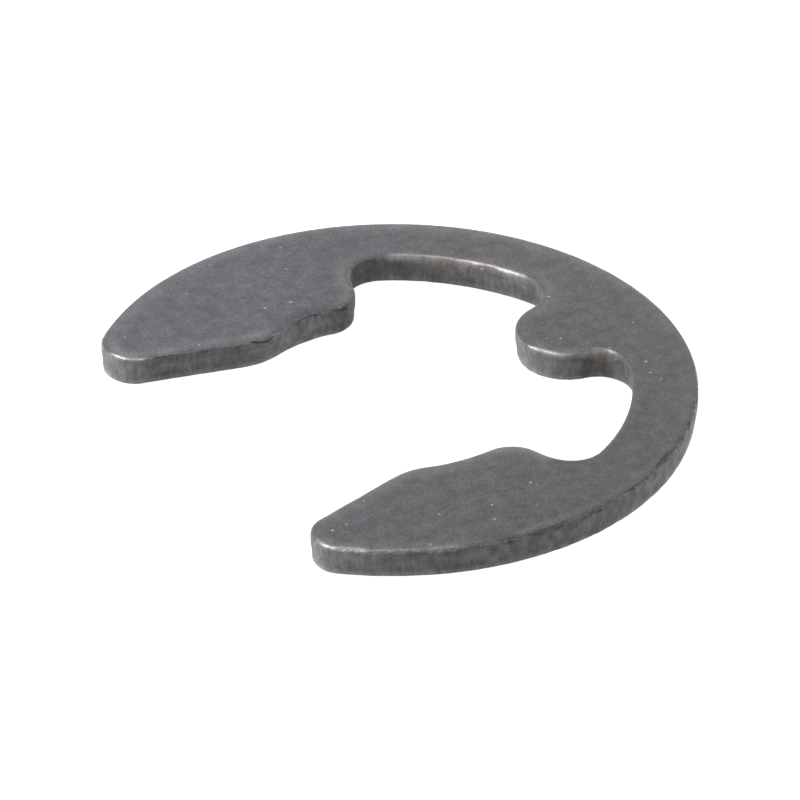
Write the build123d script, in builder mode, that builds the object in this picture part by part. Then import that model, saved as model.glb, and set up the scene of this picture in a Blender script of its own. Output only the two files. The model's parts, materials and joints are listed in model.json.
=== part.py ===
from build123d import *
import os
from math import acos, atan2, degrees, sqrt

# E-clip: a retaining ring stamped from one piece of spring steel sheet.
#
# The ring's centre lies on the Z axis. The clip lies on the plane Z = 0 with its rounded die-roll edge on
# top and its torn edge below. The mouth opens towards +X, the centre prong points at it from -X, and the
# XZ plane is the mirror plane. Lengths are in millimetres. Angles are in degrees, anticlockwise from +X.

# Sheet and edge section
sheet_thickness = 1.2
die_roll_radius = 0.2           # round drawn into the top edge as the sheet is sheared
burnished_land = 0.3            # smooth upright band below the die roll
breakout_angle = 9.8            # lean of the torn wall below the land, inwards towards the bottom face
edge_break = 0.04               # tumbled round on the bottom edge

# Ring, from the shaft outwards
seat_radius = 5.94              # circle on which the prongs close in the shaft's groove
prong_height = 3.47             # from the seat circle to the back of the relief pockets
rim_width = 2.59                # spring band from the relief pockets to the outer edge

# Jaws, one on each side of the mouth
jaw_grip = 0.43                 # how far each jaw's heel stands in across the width of the seat circle
jaw_heel_radius = 2.83          # round between the seat and the mouth wall
mouth_flare_angle = 15.2        # lean of each mouth wall, outwards from the X axis
jaw_tip_radius = 1.38           # round between the mouth wall and the outer edge

# Side prongs, the inner ends of the jaws
side_flank_angle = 109.1        # direction of the radial flank that ends each side prong
side_prong_round = 1.39         # corner between the seat and the flank
side_pocket_round = 1.33        # corner between the flank and the back of the pocket

# Centre prong
centre_prong_setback = 0.06     # gap between its tip and the seat circle
centre_prong_radius = 2.08      # round head
centre_pocket_round = 1.3       # corner between the head and the back of the pocket

# Worked out from the sizes above
torn_height = sheet_thickness - die_roll_radius - burnished_land
pocket_radius = seat_radius + prong_height
outer_radius = pocket_radius + rim_width
heel_height = seat_radius - jaw_grip


def heading(angle):
    """Unit vector at an angle from +X."""
    return Vector(1, 0).rotate(Axis.Z, angle)


def angle_of(vector):
    """Angle of a vector from +X, from 0 to 360."""
    return degrees(atan2(vector.Y, vector.X)) % 360


def point_beside(ray_angle, offset, reach):
    """Point at a distance `reach` from the ring's centre, `offset` to the left of a ray from that centre."""
    return heading(ray_angle) * sqrt(reach**2 - offset**2) + heading(ray_angle + 90) * offset


def angle_between(side_a, side_b, opposite):
    """Angle between two sides of a triangle, from its three lengths."""
    return degrees(acos((side_a**2 + side_b**2 - opposite**2) / (2 * side_a * side_b)))


def round_off(centre, radius, start, end):
    """Arc of the outline about a centre, from one angle to another."""
    CenterArc(centre, radius, start, end - start)


# Centres of the outline's rounds, on the half of the clip above the X axis
ring_centre = Vector(0, 0)

# The heel touches the seat circle from outside, and its lowest point is heel_height above the X axis.
heel_rise = heel_height + jaw_heel_radius
heel_reach = seat_radius + jaw_heel_radius
heel_centre = Vector(sqrt(heel_reach**2 - heel_rise**2), heel_rise)
heel_angle = angle_of(heel_centre)

# The mouth wall is tangent to the heel, and the tip touches that wall and the outer circle from inside.
wall_normal = heading(mouth_flare_angle + 90)
wall_offset = heel_centre.dot(wall_normal) - jaw_heel_radius
tip_centre = point_beside(mouth_flare_angle, wall_offset + jaw_tip_radius, outer_radius - jaw_tip_radius)
tip_angle = angle_of(tip_centre)
wall_at_tip = tip_centre - wall_normal * jaw_tip_radius
wall_at_heel = heel_centre - wall_normal * jaw_heel_radius

# The prong's corner touches the seat circle and the flank. The pocket's corner touches the flank from the
# other side and the back of the pocket.
flank_normal = heading(side_flank_angle + 90)
prong_centre = point_beside(side_flank_angle, -side_prong_round, seat_radius + side_prong_round)
prong_angle = angle_of(prong_centre)
flank_corner = point_beside(side_flank_angle, side_pocket_round, pocket_radius - side_pocket_round)
flank_corner_angle = angle_of(flank_corner)
flank_foot = prong_centre + flank_normal * side_prong_round
flank_head = flank_corner - flank_normal * side_pocket_round

# The centre prong's round head, and the pocket's corner that touches it and the back of the pocket
head_reach = seat_radius + centre_prong_setback + centre_prong_radius
head_centre = Vector(-head_reach, 0)
corner_reach = pocket_radius - centre_pocket_round
head_corner_angle = 180 - angle_between(corner_reach, head_reach, centre_prong_radius + centre_pocket_round)
head_corner = heading(head_corner_angle) * corner_reach
head_side = angle_of(head_corner - head_centre)

with BuildPart() as e_clip:
    with BuildSketch(Plane.XY.offset(torn_height)) as blank:
        with BuildLine() as outline:
            # Outer edge, jaw tip, mouth wall and heel
            round_off(ring_centre, outer_radius, 180, tip_angle)
            round_off(tip_centre, jaw_tip_radius, tip_angle, mouth_flare_angle - 90)
            Line(wall_at_tip, wall_at_heel)
            round_off(heel_centre, jaw_heel_radius, mouth_flare_angle - 90, heel_angle - 180)
            # Seat and side prong
            round_off(ring_centre, seat_radius, heel_angle, prong_angle)
            round_off(prong_centre, side_prong_round, prong_angle + 180, side_flank_angle + 90)
            Line(flank_foot, flank_head)
            # Relief pocket
            round_off(flank_corner, side_pocket_round, side_flank_angle - 90, flank_corner_angle)
            round_off(ring_centre, pocket_radius, flank_corner_angle, head_corner_angle)
            round_off(head_corner, centre_pocket_round, head_corner_angle, head_side + 180)
            # Head of the centre prong
            round_off(head_centre, centre_prong_radius, head_side, 0)
            mirror(about=Plane.XZ)
        make_face()

    # Burnished land, with the die roll round its top edge
    extrude(amount=sheet_thickness - torn_height)
    top_face = e_clip.faces().sort_by(Axis.Z)[-1]
    fillet(top_face.edges(), radius=die_roll_radius)

    # Torn wall below the land, leaning in towards the bottom face
    extrude(blank.sketch, amount=-torn_height, taper=breakout_angle)
    bottom_face = e_clip.faces().sort_by(Axis.Z)[0]
    fillet(bottom_face.edges(), radius=edge_break)

os.makedirs("parts", exist_ok=True)
e_clip.part.label = "e_clip"
export_step(e_clip.part, "parts/e_clip.step")
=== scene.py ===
"""A stamped spring steel e-clip, lying flat with its die-roll side up, in a dark phosphate finish.

The clip is one mesh: the section of its sheared edge carried round its outline, closed by the two flat faces.
Lengths are in millimetres and angles in degrees anticlockwise from +X, until the mesh is written in metres.
"""
import bpy
import json
import numpy as np
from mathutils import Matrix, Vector


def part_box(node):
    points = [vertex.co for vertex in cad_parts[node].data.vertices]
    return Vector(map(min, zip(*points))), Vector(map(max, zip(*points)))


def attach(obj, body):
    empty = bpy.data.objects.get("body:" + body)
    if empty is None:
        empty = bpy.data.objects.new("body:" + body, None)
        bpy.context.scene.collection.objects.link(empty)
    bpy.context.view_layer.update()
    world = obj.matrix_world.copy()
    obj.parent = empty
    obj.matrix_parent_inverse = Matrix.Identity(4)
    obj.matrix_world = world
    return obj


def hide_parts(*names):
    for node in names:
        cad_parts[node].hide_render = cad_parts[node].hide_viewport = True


MM = 0.001
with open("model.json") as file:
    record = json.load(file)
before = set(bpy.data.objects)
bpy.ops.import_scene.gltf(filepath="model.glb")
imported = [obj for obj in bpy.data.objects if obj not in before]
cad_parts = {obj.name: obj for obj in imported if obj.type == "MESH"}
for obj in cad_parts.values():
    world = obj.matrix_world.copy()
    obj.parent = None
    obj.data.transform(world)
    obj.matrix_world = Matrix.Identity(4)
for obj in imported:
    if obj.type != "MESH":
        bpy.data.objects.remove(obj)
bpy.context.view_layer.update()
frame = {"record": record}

# ---------------------------------------------------------------- sizes, in millimetres and degrees
mounts = {mount["name"]: mount for mount in frame["record"]["mounts"]}
low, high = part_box("e_clip")

SHEET = round((high.z - low.z) / MM, 2)             # thickness
OUTER = round(-low.x / MM, 2)                       # outer radius, about the ring's centre
SEAT = mounts["groove_seat"]["dims"]["r_mm"]        # circle on which the prongs close
RIM = 2.59                                          # spring band behind the relief pockets
GRIP = 0.43                                         # how far each heel stands in across the seat
HEEL = 2.83                                         # radius of each heel
FLARE = 15.2                                        # lean of each mouth wall from the X axis
TIP = 1.38                                          # radius of each jaw's tip
FLANK = 109.1                                       # direction of each side prong's radial flank
PRONG_ROUND = 1.39                                  # round of each side prong's corner
FLANK_ROUND = 1.33                                  # fillet from that flank into the pocket
SETBACK = 0.06                                      # centre prong's tip behind the seat circle
HEAD = 2.08                                         # radius of the centre prong's head
HEAD_ROUND = 1.3                                    # fillet from the head into the pocket
BACK_END = 150                                      # direction in which the back of the ring ends
JAW_ROOT = 73                                       # direction in which the back of a jaw begins
HEAD_FRONT = 14                                     # half angle of the front of the centre prong's head

SAG_REACH = 0.95        # the top face starts to sag this far in from its edge
SAG_CURVE = 2.4         # and falls as this power of the way to the edge
ROLL_SWAY = 0.1         # share by which the die roll's depth wanders along the edge
STEEP = 0.43            # slope at which the die roll starts to look like the wall
STEEP_SPAN = 0.25       # and it looks wholly like the wall when this much steeper
CORNER = 0.06           # round between the die roll and the upright land
LAND_FOOT = 0.48        # depth under the top face at which the smooth land ends and the torn wall starts
LAND_WAVE = 0.04        # how far the land's foot wanders up and down
LAND_RAG = 0.02         # and how ragged it is
FOLD = 0.012            # step in under the land's foot
RIPPLE = 0.007          # ripple of the torn wall
BREAK = 0.045           # tumbled round on the bottom edge
DENT = 0.012            # depth of the crumbs and bruises on the corner
SLIT_WIDTH = 0.03
SLIT_DEPTH = 0.03
CHIP_DEPTH = 0.02
EDGE_BLEND = 0.28       # one form of edge runs into the next over this length
MARGIN = 1.22           # width of face, top and bottom, that is carried with the edge
STEP = 0.052            # distance between sections along the outline
SAG_ROWS, ROLL_ROWS, ROUND_ROWS, LAND_ROWS, TORN_ROWS = 6, 8, 6, 8, 9     # points in each part of a section

# Each stretch of edge, on its +Y half and on its -Y half, in the order in which section and wear take them:
# how deep the face sags, how wide the die roll is, how deep it is, how far the torn wall leans in by the
# bottom face, how crumbled the corner is, how light the wall is (partly its coat, partly painted shade that
# darkens the pockets and concave corners), and how much painted sheen lightens the face beside the corner.
OUTSIDE = (0.03, 0.26, 0.01, 0.10, 0.8, 0.93, 0.2), (0.04, 0.20, 0.01, 0.10, 0.2, 1.0, 0.1)
JAW_BACK = (0.01, 0.48, 0.12, 0.10, 0.6, 0.86, 0.35), (0.04, 0.20, 0.01, 0.10, 0.2, 1.0, 0.1)
TIP_OUTSIDE = (0.04, 0.28, 0.08, 0.05, 0.1, 0.93, 0.35), (0.03, 0.20, 0.02, 0.05, 0.1, 1.0, 0.4)
TIP_INSIDE = (0.05, 0.16, 0.02, 0.05, 0.1, 1.0, 0.0), (0.06, 0.25, 0.07, 0.05, 0.1, 0.87, 0.7)
MOUTH = (0.06, 0.16, 0.02, 0.10, 0.2, 1.0, 0.1), (0.03, 0.14, 0.01, 0.10, 0.6, 0.77, 0.5)
HEEL_WALL = (0.06, 0.16, 0.02, 0.10, 0.2, 1.0, 0.1), (0.03, 0.14, 0.01, 0.10, 0.5, 1.0, 0.65)
SEATED = (0.05, 0.14, 0.02, 0.10, 0.2, 1.0, 0.1), (0.03, 0.14, 0.01, 0.10, 0.6, 1.05, -0.1)
SIDE_PRONG = (0.08, 0.20, 0.02, 0.06, 0.2, 1.0, 0.1), (0.03, 0.14, 0.01, 0.06, 0.7, 0.70, 0.3)
FLANK_CORNER = (0.00, 0.20, 0.02, 0.10, 0.2, 1.0, 0.0), (0.01, 0.18, 0.03, 0.10, 0.3, 0.72, 0.35)
POCKET = (0.00, 0.20, 0.02, 0.10, 0.2, 0.58, 0.0), (0.05, 0.40, 0.19, 0.10, 0.2, 0.83, 0.35)
HEAD_CORNER = (0.12, 0.54, 0.31, 0.10, 0.2, 0.54, 0.4), (0.02, 0.12, 0.01, 0.10, 0.2, 0.75, 0.3)
PRONG_HEAD = (0.07, 0.36, 0.14, 0.07, 0.1, 0.77, 0.65), (0.03, 0.16, 0.02, 0.07, 0.2, 1.0, 0.1)
# Slits left by the shears: distance along the edge and depth from the corner (less than 0 on the top face),
# at each slit's two ends. The second and third are one bent slit.
SLITS = [
    ((11.6, -0.20), (12.7, -0.18)),
    ((74.5, 0.10), (74.8, 0.19)),
    ((74.8, 0.19), (75.5, 0.02)),
    ((70.7, 0.20), (71.1, 0.12)),
    ((71.9, -0.02), (72.3, 0.04)),
    ((77.6, -0.20), (78.0, -0.17)),
]
# Chips on the corner: distance along the edge, depth from the corner, radius.
CHIPS = [(62.4, 0.05, 0.17), (58.9, -0.22, 0.06), (58.6, -0.34, 0.05), (11.3, 0.12, 0.08)]
UNROLLED = 10           # millimetres of edge to one unit of its UV map


# ---------------------------------------------------------------- outline
def heading(angle):
    """Unit vector at an angle from +X."""
    return np.array([np.cos(np.radians(angle)), np.sin(np.radians(angle))])


def angle_of(vector):
    """Angle of a vector from +X, from 0 to 360."""
    return np.degrees(np.arctan2(vector[1], vector[0])) % 360


def point_beside(ray_angle, offset, reach):
    """Point at a distance from the ring's centre, set off to the left of a ray from that centre:
    sqrt(reach**2 - offset**2) along the ray, and offset across it."""
    return heading(ray_angle) * np.sqrt(reach**2 - offset**2) + heading(ray_angle + 90) * offset


def arc(centre, radius, start, end, side):
    """Points of an arc, centre + radius * heading(angle), and their outward angles. side is 1 where the steel
    is inside the arc and -1 where it is outside. Two points fall to each STEP."""
    count = max(int(abs(np.radians(end - start)) * radius / STEP) * 2, 4)
    angle = np.linspace(start, end, count)
    points = centre + radius * heading(angle).T
    return points, angle + (0 if side > 0 else 180)


def straight(begin, end, outward):
    """Points of a straight wall, begin + share * (end - begin), and their outward angle."""
    count = max(int(np.linalg.norm(end - begin) / STEP) * 2, 4)
    share = np.linspace(0, 1, count)[:, None]
    return begin + share * (end - begin), np.full(count, float(outward))


def half_outline(side):
    """The clip's edge from its back at -X, round the jaw at +Y, to the centre prong's tip, each stretch
    tangent to the next: outer circle, tip, mouth wall, heel, seat, prong corner, flank, pocket, head.

    The centres follow from what touches: two tangent circles lie the sum or the difference of their radii
    apart, and a circle tangent to a line lies its radius from it. The law of cosines gives the head's fillet
    its direction. The outer circle, the tip, the head's fillet and the head are cut where the form changes.

    side is 0 for the edge's form on the +Y half and 1 for its form on the -Y half."""
    pocket = OUTER - RIM
    origin = np.zeros(2)
    heel_rise = SEAT - GRIP + HEEL
    heel = np.array([np.sqrt((SEAT + HEEL) ** 2 - heel_rise**2), heel_rise])
    wall_normal = heading(FLARE + 90)
    tip = point_beside(FLARE, heel @ wall_normal - HEEL + TIP, OUTER - TIP)
    prong = point_beside(FLANK, -PRONG_ROUND, SEAT + PRONG_ROUND)
    flank_corner = point_beside(FLANK, FLANK_ROUND, pocket - FLANK_ROUND)
    flank_normal = heading(FLANK + 90)
    head_reach = SEAT + SETBACK + HEAD
    head = np.array([-head_reach, 0.0])
    reach, gap = pocket - HEAD_ROUND, HEAD + HEAD_ROUND
    opening = np.degrees(np.arccos((reach**2 + head_reach**2 - gap**2) / (2 * reach * head_reach)))
    head_corner = heading(180 - opening) * reach
    head_side = angle_of(head_corner - head)
    corner_middle = (180 - opening + head_side + 180) / 2
    tip_middle = (angle_of(tip) + FLARE - 90) / 2
    stretches = [
        (arc(origin, OUTER, 180, BACK_END, 1), (OUTSIDE[1], OUTSIDE[1])),
        (arc(origin, OUTER, BACK_END, JAW_ROOT, 1), OUTSIDE),
        (arc(origin, OUTER, JAW_ROOT, angle_of(tip), 1), JAW_BACK),
        (arc(tip, TIP, angle_of(tip), tip_middle, 1), TIP_OUTSIDE),
        (arc(tip, TIP, tip_middle, FLARE - 90, 1), TIP_INSIDE),
        (straight(tip - wall_normal * TIP, heel - wall_normal * HEEL, FLARE - 90), MOUTH),
        (arc(heel, HEEL, FLARE - 90, angle_of(heel) - 180, 1), HEEL_WALL),
        (arc(origin, SEAT, angle_of(heel), angle_of(prong), -1), SEATED),
        (arc(prong, PRONG_ROUND, angle_of(prong) + 180, FLANK + 90, 1), SIDE_PRONG),
        (straight(prong + flank_normal * PRONG_ROUND, flank_corner - flank_normal * FLANK_ROUND, FLANK + 90),
         SIDE_PRONG),
        (arc(flank_corner, FLANK_ROUND, FLANK - 90, angle_of(flank_corner), -1), FLANK_CORNER),
        (arc(origin, pocket, angle_of(flank_corner), 180 - opening, -1), POCKET),
        (arc(head_corner, HEAD_ROUND, 180 - opening, corner_middle, -1), (POCKET[0], HEAD_CORNER[1])),
        (arc(head_corner, HEAD_ROUND, corner_middle, head_side + 180, -1), HEAD_CORNER),
        (arc(head, HEAD, head_side, HEAD_FRONT, 1), PRONG_HEAD),
        (arc(head, HEAD, HEAD_FRONT, 0, 1), (PRONG_HEAD[1], PRONG_HEAD[1])),
    ]
    points, angles = (np.concatenate(part) for part in zip(*(samples for samples, form in stretches)))
    forms = np.concatenate([np.tile(form[side], (len(samples[1]), 1)) for samples, form in stretches])
    return points, angles, forms


def outline():
    """Points, outward normals, edge form and distance round the whole edge, at even steps, and its length.

    The second half is the first mirrored in the X axis and run backwards."""
    points, angles, forms = half_outline(0)
    mirrored, turned, other_forms = (part[::-1] for part in half_outline(1))
    points = np.concatenate([points, mirrored * [1, -1]])
    angles = np.concatenate([angles, -turned])
    forms = np.concatenate([forms, other_forms])
    along = np.concatenate([[0], np.cumsum(np.linalg.norm(np.diff(points, axis=0), axis=1))])
    keep = np.concatenate([[True], np.diff(along) > 1e-9])
    along, points, forms = along[keep], points[keep], forms[keep]
    angles = np.unwrap(angles[keep], period=360)
    length = along[-1]
    stations = np.linspace(0, length, int(length / STEP), endpoint=False)
    edge = np.stack([np.interp(stations, along, points[:, axis]) for axis in (0, 1)], 1)
    normals = heading(np.interp(stations, along, angles)).T
    form = [blurred(np.interp(stations, along, size), EDGE_BLEND, length) for size in forms.T]
    return edge, normals, form, stations, length


def blurred(values, width, length):
    """A row of values round the closed edge, smoothed by a Gaussian of a width along the edge: each wave is
    multiplied by exp(-2 * (pi * waves per millimetre * width)**2)."""
    waves = np.fft.rfftfreq(len(values), length / len(values))
    return np.fft.irfft(np.fft.rfft(values) * np.exp(-2 * (np.pi * waves * width) ** 2), len(values))


def grain(count, rows, length, run, rise, seed):
    """Random field of unit spread over edge and height: noise smoothed by a Gaussian, so that its grains are
    `run` long along the edge and `rise` rows high."""
    field = np.random.default_rng(seed).standard_normal((rows, count))
    across = np.abs(np.fft.fftfreq(rows, 1.0))[:, None]
    round_edge = np.abs(np.fft.fftfreq(count, length / count))[None, :]
    window = np.exp(-2 * np.pi**2 * ((across * rise) ** 2 + (round_edge * run) ** 2))
    field = np.real(np.fft.ifft2(np.fft.fft2(field) * window))
    return field / field.std()


# ---------------------------------------------------------------- section of the sheared edge
def section(form, length):
    """Distance in from the outline and height, for each row of the section and each station.

    From the middle of the top face outwards: flat margin; sag, falling as the SAG_CURVE power of the way from
    its start to the edge; die roll, adding depth * (1 - inset / width)**2; quarter round; upright land; torn
    wall leaning in; tumbled round; flat margin.

    Also how far each point is rubbed die roll, how far it is sheared wall, and how much oil its station
    holds. A roll is rubbed from an eighth as deep as wide, and wholly from a quarter. The mark comes in over
    its first six tenths, and goes out where it is steep and round the quarter round, whose first quarter of
    a radian turns to wall. A roll holds oil from 0.13 mm deep, and all it can from 0.23 mm."""
    sag, roll_width, roll_depth, torn_lean = form[:4]
    count = len(sag)
    none, full = np.zeros(count), np.ones(count)
    ragged = grain(count, 1, length, run=0.25, rise=1, seed=3)[0]
    slow = grain(count, 1, length, run=1.6, rise=1, seed=4)[0]
    roll_depth = roll_depth * (1 + ROLL_SWAY * grain(count, 1, length, run=0.2, rise=1, seed=7)[0])
    rubbed = np.clip(8 * roll_depth / roll_width - 1, 0, 1)

    rows = [(MARGIN * full, SHEET * full, none, none)]
    for share in np.linspace(0, 1, SAG_ROWS, endpoint=False):
        inset = SAG_REACH + (roll_width - SAG_REACH) * share
        rows.append((inset, SHEET - sag * (1 - inset / SAG_REACH) ** SAG_CURVE, none, none))
    for share in np.linspace(0, 1, ROLL_ROWS, endpoint=False):
        inset = roll_width + (CORNER - roll_width) * share
        fall = sag * (1 - inset / SAG_REACH) ** SAG_CURVE + roll_depth * (1 - inset / roll_width) ** 2
        slope = 2 * roll_depth / roll_width * (1 - inset / roll_width)
        steep = np.clip((slope - STEEP) / STEEP_SPAN, 0, 1)
        rows.append((inset, SHEET - fall, rubbed * min(share * 1.7, 1) * (1 - steep), steep))
    for turn in np.linspace(0, np.pi / 2, ROUND_ROWS):
        inset = CORNER * (1 - np.sin(turn)) * full
        fall = sag * (1 - inset / SAG_REACH) ** SAG_CURVE + roll_depth * (1 - inset / roll_width) ** 2
        height = SHEET - fall - CORNER * (1 - np.cos(turn))
        rolled = rubbed * (1 - steep) * max(np.cos(turn * 1.8), 0)
        rows.append((inset, height, rolled, np.maximum(steep, min(turn * 4, 1))))

    land_top = rows[-1][1]
    land_foot = SHEET - LAND_FOOT + LAND_RAG * ragged + LAND_WAVE * slow
    for share in np.linspace(0.12, 1, LAND_ROWS):
        rows.append((none, land_top + (land_foot - land_top) * share, none, full))
    fine = grain(count, TORN_ROWS, length, run=0.09, rise=0.8, seed=5)
    coarse = grain(count, TORN_ROWS, length, run=0.3, rise=2, seed=6)
    rough = fine * 0.6 + coarse * 0.4
    for index, share in enumerate(np.linspace(0.04, 1, TORN_ROWS)):
        height = land_foot + (BREAK - land_foot) * share
        below_fold = min(share / 0.1, 1)
        lean = torn_lean * share + FOLD * below_fold
        rows.append((lean + RIPPLE * rough[index] * below_fold, height, none, full))
    foot = rows[-1][0]
    for turn in (np.pi / 6, np.pi / 3, np.pi / 2):
        rows.append((foot + BREAK * (1 - np.cos(turn)), BREAK * (1 - np.sin(turn)) * full, none, full))
    rows.append((MARGIN * full, none, none, none))
    inset, height, roll, sheared = (np.array(part) for part in zip(*rows))
    oil = np.clip((roll_depth - 0.13) / 0.1, 0, 1)
    return inset, height, roll, sheared, oil


def wear(form, length, inset, height, sheared):
    """The section dented by crumbs, bruises, slits and chips near the corner, and the marks that they leave.

    The wear and shade mark is (0.65 * crumbs + bruises) * crumbled - 2.5 * chip: above 0 the corner is
    dented and painted dark, as shade in the dents, and below 0 it is bare. tone, the lightness of the coat,
    is the wall's where the edge is sheared, there partly painted shade, and 1 on the face, plus a share of
    painted sheen beside the die roll. Crumbs, bruises and the sheen's patches are random grains, each in its
    own band along the edge. depth runs from the corner, below 0 on the face, and leaves out the lower half of
    the wall."""
    crumbled, tone, painted_sheen = form[4:]
    depth = np.where(inset > CORNER, -inset, SHEET - height)
    depth[height < 0.5 * SHEET] = SHEET
    rows, count = depth.shape
    along = np.arange(count) * length / count
    crumbs = grain(count, rows, length, run=0.06, rise=1, seed=8)
    corner_grain = grain(count, rows, length, run=0.3, rise=2, seed=9)
    # Painted shade: the bruises' dark band lies where the corner is dented.
    bruises_and_shade = (0.9 + 0.7 * corner_grain) * band(depth, -0.01, 0.16)
    wear_and_shade = (0.65 * crumbs * band(depth, 0.03, 0.13) + bruises_and_shade) * crumbled
    # Painted shade on the walls, and a painted sheen lightening the face beside the die roll.
    tone = 1 + (tone - 1) * sheared + painted_sheen * (1 + 0.3 * corner_grain) * band(depth, -0.36, 0.26)
    slit = slits(along, depth)
    chip = chips(along, depth)
    wear_and_shade = wear_and_shade - 2.5 * chip
    dent = DENT * np.maximum(wear_and_shade, 0)
    inset = inset + dent + SLIT_DEPTH * slit + CHIP_DEPTH * chip
    height = height - dent * (depth < 0.3)
    return inset, height, {"tone": tone, "wear_and_shade": wear_and_shade, "slit": slit}


def band(depth, middle, width):
    """How far each point is inside a band along the edge: exp(-((depth - middle) / width)**2)."""
    return np.exp(-((depth - middle) / width) ** 2)


def slits(along, depth):
    """How far each point of the unrolled edge is inside a slit: sum of exp(-(distance / SLIT_WIDTH)**2)."""
    total = np.zeros(depth.shape)
    for (start, start_depth), (end, end_depth) in SLITS:
        run, rise = end - start, end_depth - start_depth
        share = np.clip(((along - start) * run + (depth - start_depth) * rise) / (run**2 + rise**2), 0, 1)
        gap = np.hypot(along - start - run * share, depth - start_depth - rise * share)
        total += np.exp(-(gap / SLIT_WIDTH) ** 2)
    return total


def chips(along, depth):
    """How far each point of the unrolled edge is inside a chip: sum of exp(-(distance / radius)**4)."""
    total = np.zeros(depth.shape)
    for station, middle, radius in CHIPS:
        total += np.exp(-(np.hypot(along - station, depth - middle) / radius) ** 4)
    return total


def build_clip():
    """The clip's mesh: each point is its station's edge - inset * normal, at its height. The top and bottom
    faces are closed by one polygon each, and the marks of the edge are kept as attributes.

    Oil thins out down the wall, from all that a station holds at 0.9 mm up, to 0.3 of it at 0.55 mm."""
    edge, normals, form, stations, length = outline()
    inset, height, roll, sheared, oil = section(form, length)
    inset, height, marks = wear(form, length, inset, height, sheared)
    oiled = oil * np.clip((height - 0.4) / 0.5, 0.3, 1)
    marks |= {"roll": roll, "sheared": sheared, "oiled": oiled}
    rows, count = inset.shape
    plan = edge[None] - inset[..., None] * normals[None]
    points = np.concatenate([plan, height[..., None]], 2) * MM

    index = np.arange(rows * count).reshape(rows, count)
    after = np.roll(index, -1, 1)
    quads = np.stack([index[:-1], after[:-1], after[1:], index[1:]], 2).reshape(-1, 4)
    top, bottom = index[0, ::-1], index[-1]
    loops = np.concatenate([quads.ravel(), top, bottom])
    starts = np.concatenate([np.arange(len(quads)) * 4, [quads.size, quads.size + count]])

    mesh = bpy.data.meshes.new("clip")
    mesh.vertices.add(rows * count)
    mesh.vertices.foreach_set("co", points.ravel())
    mesh.loops.add(len(loops))
    mesh.loops.foreach_set("vertex_index", loops)
    mesh.polygons.add(len(starts))
    mesh.polygons.foreach_set("loop_start", starts)
    mesh.update(calc_edges=True)
    mesh.polygons.foreach_set("use_smooth", np.ones(len(starts), bool))
    mesh.validate()

    for name, values in marks.items():
        mesh.attributes.new(name, "FLOAT", "POINT").data.foreach_set("value", values.ravel())
    along = np.broadcast_to(stations[None] / UNROLLED, (rows, count)).ravel()
    unrolled = np.stack([along, (height / UNROLLED).ravel()], 1)[loops]
    mesh.uv_layers.new(name="edge").data.foreach_set("uv", unrolled.ravel())

    clip = bpy.data.objects.new("stamped_clip", mesh)
    bpy.context.scene.collection.objects.link(clip)
    return clip


# ---------------------------------------------------------------- materials
SPREAD = "ShaderNodeMapRange"   # inputs: value, its least and most, what they become; held at both ends
NOISE = (0.3, 0.7)              # nearly all of a noise lies between these
BLEND = "ShaderNodeMix"         # colour inputs: 0 share, 6 first, 7 second; output 2
PAINT = {"data_type": "RGBA"}   # settings for a blend of two colours
TIMES = {"data_type": "RGBA", "blend_type": "MULTIPLY"}


def linear(code):
    """sRGB hex value, such as 6E6C70, to linear red, green, blue and alpha."""
    shades = np.array([int(code[i:i + 2], 16) for i in (0, 2, 4)]) / 255
    shades = np.where(shades <= 0.04045, shades / 12.92, ((shades + 0.055) / 1.055) ** 2.4)
    return (*shades, 1.0)


def add_node(tree, kind, inputs, output=0, **settings):
    """Adds a node with its settings and gives one of its outputs. Each input gets a value or another node's
    output: by name or number from a dict, or in their order from a list."""
    made = tree.nodes.new(kind)
    for name, value in settings.items():
        setattr(made, name, value)
    for name, source in inputs.items() if isinstance(inputs, dict) else enumerate(inputs):
        if isinstance(source, bpy.types.NodeSocket):
            tree.links.new(source, made.inputs[name])
        else:
            made.inputs[name].default_value = source
    return made.outputs[output] if made.outputs else made


def specks(tree, place, spacing, radius, share, kept):
    """Round specks of a radius in millimetres, one in each of a share of the cells of that spacing, soft
    beyond 0.4 of the radius and faded by how far they are kept."""
    scale = {"Vector": place, "Scale": 1 / (spacing * MM)}
    distance = add_node(tree, "ShaderNodeTexVoronoi", scale, "Distance")
    lot = add_node(tree, "ShaderNodeTexVoronoi", scale, "Color")
    near = add_node(tree, SPREAD, [distance, 0.4 * radius / spacing, radius / spacing, 1.0, 0.0])
    chosen = add_node(tree, SPREAD, [lot, share - 0.02, share, 1.0, 0.0])
    faded = add_node(tree, "ShaderNodeMath", [near, kept], operation="MULTIPLY")
    return add_node(tree, "ShaderNodeMath", [faded, chosen], operation="MULTIPLY")


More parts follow.
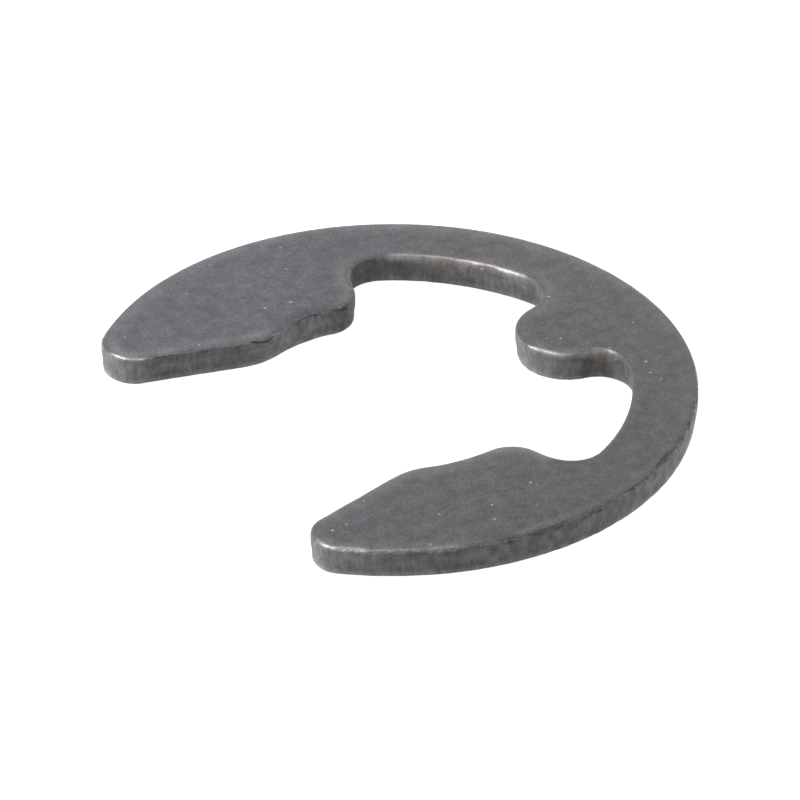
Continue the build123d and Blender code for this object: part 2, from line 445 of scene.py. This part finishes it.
def face_coat(tree, place, crystals, marks):
    """Colour of the faces and the die roll.

    Two violet greys, blended down the slope on which the bath drained and by soft clouds, darkened by
    painted shade towards +Y and a little greener there, times the clouds and the bath's wide marks. Over that
    the warmer grey of the rubbed roll and the lighter grey of a painted sheen in the band beside the corner,
    times the crystals, and bright specks on the plain face."""
    clouds, bath = (
        add_node(tree, "ShaderNodeTexNoise", {"Vector": place, "Scale": 1 / (size * MM), "Detail": detail})
        for size, detail in ((0.6, 3.0), (5.0, 1.0)))
    drained = add_node(tree, "ShaderNodeVectorMath", [place, (0.83, -0.55, 0.0)], "Value",
                       operation="DOT_PRODUCT")
    drained = add_node(tree, SPREAD, [drained, -9 * MM, 10 * MM, 0.15, 0.85])
    cloudy = add_node(tree, SPREAD, [clouds, *NOISE, -0.15, 0.15])
    hue = add_node(tree, "ShaderNodeMath", [drained, cloudy])
    face = add_node(tree, BLEND, {0: hue, 6: linear("3E3A3C"), 7: linear("3C3B41")}, 2, **PAINT)
    # Painted shade: towards +Y the face darkens by up to an eighth, and turns a little greener.
    across = add_node(tree, "ShaderNodeSeparateXYZ", [place], "Y")
    painted_shade_greener = add_node(tree, SPREAD, [across, -8 * MM, 8 * MM, 0.0, 1.0])
    face = add_node(tree, BLEND, {0: painted_shade_greener, 6: face, 7: linear("F0F4F0")}, 2, **TIMES)
    for field, least, most in ((clouds, 0.76, 1.24), (bath, 0.94, 1.06)):
        shade = add_node(tree, SPREAD, [field, *NOISE, least, most])
        face = add_node(tree, BLEND, {0: 1.0, 6: face, 7: shade}, 2, **TIMES)
    rubbed = add_node(tree, SPREAD, [marks["roll"], 0.0, 1.0, 0.0, 0.4])
    # The share of painted sheen: a lighter grey where tone is above 1, beside the die roll.
    painted_sheen_share = add_node(tree, SPREAD, [marks["tone"], 1.0, 1.6, 0.0, 0.7])
    for share, colour in ((rubbed, "44453E"), (painted_sheen_share, "403E3D")):
        face = add_node(tree, BLEND, {0: share, 6: face, 7: linear(colour)}, 2, **PAINT)
    grit = add_node(tree, SPREAD, [crystals, *NOISE, 0.66, 1.34])
    face = add_node(tree, BLEND, {0: 1.0, 6: face, 7: grit}, 2, **TIMES)
    edged = add_node(tree, "ShaderNodeMath", [marks["roll"], marks["sheared"]])
    plain = add_node(tree, SPREAD, [edged, 0.0, 0.2, 1.0, 0.0])
    for spacing, radius, share, colour in ((0.5, 0.05, 0.4, "7C7A7E"), (1.1, 0.08, 0.45, "7E7C7A")):
        speck = specks(tree, place, spacing, radius, share, plain)
        face = add_node(tree, BLEND, {0: speck, 6: face, 7: linear(colour)}, 2, **PAINT)
    return face


def wall_coat(tree, place, rise, streak, patch, crystals, marks):
    """Colour of the sheared wall.

    Warm grey, turning olive where oil has run down from a deep roll, times the streaks, the patches, the
    crystals and three bands, each between two heights in millimetres: the land is lighter than the torn wall,
    but only along its own foot, and the foot of the wall is lightest, a painted light as from the floor."""
    rust = add_node(tree, "ShaderNodeTexNoise", {"Vector": place, "Scale": 1 / (0.7 * MM), "Detail": 2.0})
    rusty = add_node(tree, SPREAD, [rust, 0.4, 0.6, 0.0, 1.0])
    wall = add_node(tree, BLEND, {0: rusty, 6: linear("696667"), 7: linear("666567")}, 2, **PAINT)
    wall = add_node(tree, BLEND, {0: marks["oiled"], 6: wall, 7: linear("686561")}, 2, **PAINT)
    fine = add_node(tree, SPREAD, [crystals, *NOISE, 0.86, 1.14])
    shades = [streak, patch, fine]
    # The last band is painted light: the bottom 0.3 mm of the wall is lightened as if lit from the floor.
    bands = (0.72, 0.75, 1.02, 1.07), (0.75, 0.85, 1.0, 0.93), (0.05, 0.3, 1.6, 1.0)
    for start, end, below, above in bands:
        shades.append(add_node(tree, SPREAD, [rise, start / UNROLLED, end / UNROLLED, below, above]))
    for shade in shades:
        wall = add_node(tree, BLEND, {0: 1.0, 6: wall, 7: shade}, 2, **TIMES)
    return wall


def phosphated_steel():
    """Spring steel, blanked from strip and tumbled, under a dark crystalline phosphate coat and oil.

    To the eye that is a matt, faintly violet grey face with soft clouds and a fine grit, a duller wall
    streaked by the shears, and a die roll that tumbling has rubbed and that shines through patches of oil.
    Bare crumbs are light on the corner; bruises and slits are painted dark, as shade in their dents and
    cracks."""
    material = bpy.data.materials.new("phosphated_spring_steel")
    material.use_nodes = True
    tree = material.node_tree
    tree.nodes.clear()
    place = add_node(tree, "ShaderNodeTexCoord", {}, "Object")
    unrolled = add_node(tree, "ShaderNodeUVMap", {}, uv_map="edge")
    rise = add_node(tree, "ShaderNodeSeparateXYZ", [unrolled], "Y")
    marks = {name: add_node(tree, "ShaderNodeAttribute", {}, "Fac", attribute_name=name)
             for name in ("roll", "sheared", "tone", "wear_and_shade", "slit", "oiled")}

    # Phosphate crystals are finer than this; they are drawn 0.09 mm wide so that they show.
    crystals, patches = (
        add_node(tree, "ShaderNodeTexNoise", {"Vector": place, "Scale": 1 / (size * MM), "Detail": detail})
        for size, detail in ((0.09, 3.0), (0.5, 2.0)))
    # The shears leave six streaks to a millimetre, each about three times as tall as it is wide.
    stretched = add_node(tree, "ShaderNodeMapping", {"Vector": unrolled, "Scale": (1.0, 0.3, 1.0)})
    streaks = add_node(tree, "ShaderNodeTexNoise",
                       {"Vector": stretched, "Scale": 6.0 * UNROLLED, "Detail": 3.0})
    streak = add_node(tree, SPREAD, [streaks, *NOISE, 0.82, 1.18])
    patch = add_node(tree, SPREAD, [patches, *NOISE, 0.78, 1.22])

    face = face_coat(tree, place, crystals, marks)
    wall = wall_coat(tree, place, rise, streak, patch, crystals, marks)
    coat = add_node(tree, BLEND, {0: marks["sheared"], 6: face, 7: wall}, 2, **PAINT)
    # The tone multiplied in here is partly painted shade on the walls and a painted sheen on the face.
    coat = add_node(tree, BLEND, {0: 1.0, 6: coat, 7: marks["tone"]}, 2, **TIMES)
    # Bare crumbs and chips are light; the dark of the dents and slits is painted shade.
    for mark, least, most, share, colour in (
            ("wear_and_shade", -0.6, -1.8, 0.6, "989592"),
            ("wear_and_shade", 0.2, 1.4, 0.6, "2C2A2A"),
            ("slit", 0.1, 0.9, 0.9, "181717")):
        laid = add_node(tree, SPREAD, [marks[mark], least, most, 0.0, share])
        coat = add_node(tree, BLEND, {0: laid, 6: coat, 7: linear(colour)}, 2, **PAINT)

    # The oil lies on the roll alone, and is thinnest where the coat under it is darkest.
    patchy = add_node(tree, "ShaderNodeMath", [streak, patch], operation="MULTIPLY")
    patchy = add_node(tree, SPREAD, [patchy, 0.74, 1.16, 0.25, 1.0])
    film = add_node(tree, "ShaderNodeMath", [marks["roll"], patchy], operation="MULTIPLY")
    rough = add_node(tree, SPREAD, [marks["sheared"], 0.0, 1.0, 0.55, 0.82])
    raised = add_node(tree, SPREAD, [marks["roll"], 0.0, 1.0, 0.3, 0.8])
    bump = add_node(tree, "ShaderNodeBump", {"Height": crystals, "Strength": raised, "Distance": 0.01 * MM})
    steel = add_node(tree, "ShaderNodeBsdfPrincipled", {
        "Base Color": coat, "Metallic": 0.85, "Roughness": rough, "Normal": bump,
        "Coat Weight": film, "Coat Roughness": 0.25})
    add_node(tree, "ShaderNodeOutputMaterial", {"Surface": steel})
    return material


def seen_or_mirrored(tree):
    """1 for rays from the camera and for reflections, 0 for the light that falls on the clip."""
    camera_ray = add_node(tree, "ShaderNodeLightPath", {}, "Is Camera Ray")
    mirrored = add_node(tree, "ShaderNodeLightPath", {}, "Is Glossy Ray")
    return add_node(tree, "ShaderNodeMath", [camera_ray, mirrored], operation="MAXIMUM")


def white_card():
    """Smooth white card. It lights the clip as a plain card does. The camera and the steel see 0.3 of that,
    which keeps a faint shadow, plus a glow of 1.7 * 0.55, and the two together are white."""
    material = bpy.data.materials.new("white_card")
    material.use_nodes = True
    tree = material.node_tree
    tree.nodes.clear()
    card = add_node(tree, "ShaderNodeBsdfDiffuse", {"Color": linear("F4F4F4")})
    glow = add_node(tree, "ShaderNodeEmission", {"Color": (1, 1, 1, 1), "Strength": 0.55})
    faded = add_node(tree, "ShaderNodeMixShader", [0.7, card, glow])
    lifted = add_node(tree, "ShaderNodeAddShader", [faded, glow])
    shown = add_node(tree, "ShaderNodeMixShader", [seen_or_mirrored(tree), card, lifted])
    add_node(tree, "ShaderNodeOutputMaterial", {"Surface": shown})
    return material


# ---------------------------------------------------------------- the clip
clip = build_clip()
clip.data.materials.append(phosphated_steel())
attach(clip, "root")
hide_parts("e_clip")

# ---------------------------------------------------------------- stage, camera and light
CAMERA_AZIMUTH = 58.71      # direction from the ring's centre to the camera
CAMERA_HEIGHT = 32.75       # its angle above the floor
CAMERA_DISTANCE = 0.6749    # metres
LENS = 773.1                # focal length in millimetres
AIM_RIGHT = 0.279           # millimetres from the ring's centre to the middle of the view
AIM_UP = -0.596
LAMP_DISTANCE = 0.12        # metres
FLOOR_REACH = 2             # metres from the middle of the floor to its edges


def from_centre(azimuth, height, distance):
    """Point at a distance from the origin, at an azimuth and an angle above the floor."""
    flat = heading(azimuth) * np.cos(np.radians(height))
    return Vector((flat[0], flat[1], np.sin(np.radians(height)))) * distance


def turned_to(place, target):
    """Rotation that points an object's -Z from a place to a target, with its Y upwards."""
    return (target - place).to_track_quat("-Z", "Y").to_euler()


floor = bpy.data.objects.new("floor", bpy.data.meshes.new("floor"))
corners = [(x * FLOOR_REACH, y * FLOOR_REACH, 0) for x, y in ((-1, -1), (1, -1), (1, 1), (-1, 1))]
floor.data.from_pydata(corners, [], [(0, 1, 2, 3)])
floor.data.materials.append(white_card())
bpy.context.scene.collection.objects.link(floor)

camera = bpy.data.objects.new("camera", bpy.data.cameras.new("camera"))
right = Vector((*heading(CAMERA_AZIMUTH + 90), 0))
facing = -from_centre(CAMERA_AZIMUTH, CAMERA_HEIGHT, 1)
up = right.cross(facing)
aim = Vector((0, 0, high.z)) + (right * AIM_RIGHT + up * AIM_UP) * MM
camera.location = aim - facing * CAMERA_DISTANCE
camera.rotation_euler = turned_to(camera.location, aim)
camera.data.lens = LENS
camera.data.clip_start = 0.01
camera.data.clip_end = 10
bpy.context.scene.collection.objects.link(camera)
bpy.context.scene.camera = camera


def softbox(name, azimuth, height, width, tall, power):
    """Area lamp looking at the clip, placed by its azimuth round from the camera and its angle above the
    floor. Its width and how tall it is are in metres, and its power is in watts."""
    lamp = bpy.data.objects.new(name, bpy.data.lights.new(name, "AREA"))
    lamp.data.shape = "RECTANGLE"
    lamp.data.size = width
    lamp.data.size_y = tall
    lamp.data.energy = power
    lamp.location = from_centre(CAMERA_AZIMUTH + azimuth, height, LAMP_DISTANCE)
    lamp.rotation_euler = turned_to(lamp.location, Vector((0, 0, 0)))
    bpy.context.scene.collection.objects.link(lamp)


# The key makes the highlights on the die roll, and the low lamps light the walls.
softbox("key", -130, 64, 0.04, 0.04, 0.135)
softbox("top", -160, 76, 0.06, 0.03, 0.025)
softbox("back", 180, 10, 0.22, 0.04, 0.15)
softbox("left", -75, 6, 0.10, 0.03, 0.3)
softbox("right", 115, 8, 0.10, 0.03, 0.1)

world = bpy.data.worlds.new("studio")
bpy.context.scene.world = world
world.use_nodes = True
world.node_tree.nodes.clear()
# The sky is white to the camera and in the steel, and half as strong where it lights the clip.
strength = add_node(world.node_tree, SPREAD, [seen_or_mirrored(world.node_tree), 0.0, 1.0, 0.5, 1.0])
sky = add_node(world.node_tree, "ShaderNodeBackground", {"Color": (1, 1, 1, 1), "Strength": strength})
add_node(world.node_tree, "ShaderNodeOutputWorld", {"Surface": sky})

bpy.context.scene.view_settings.view_transform = "Standard"
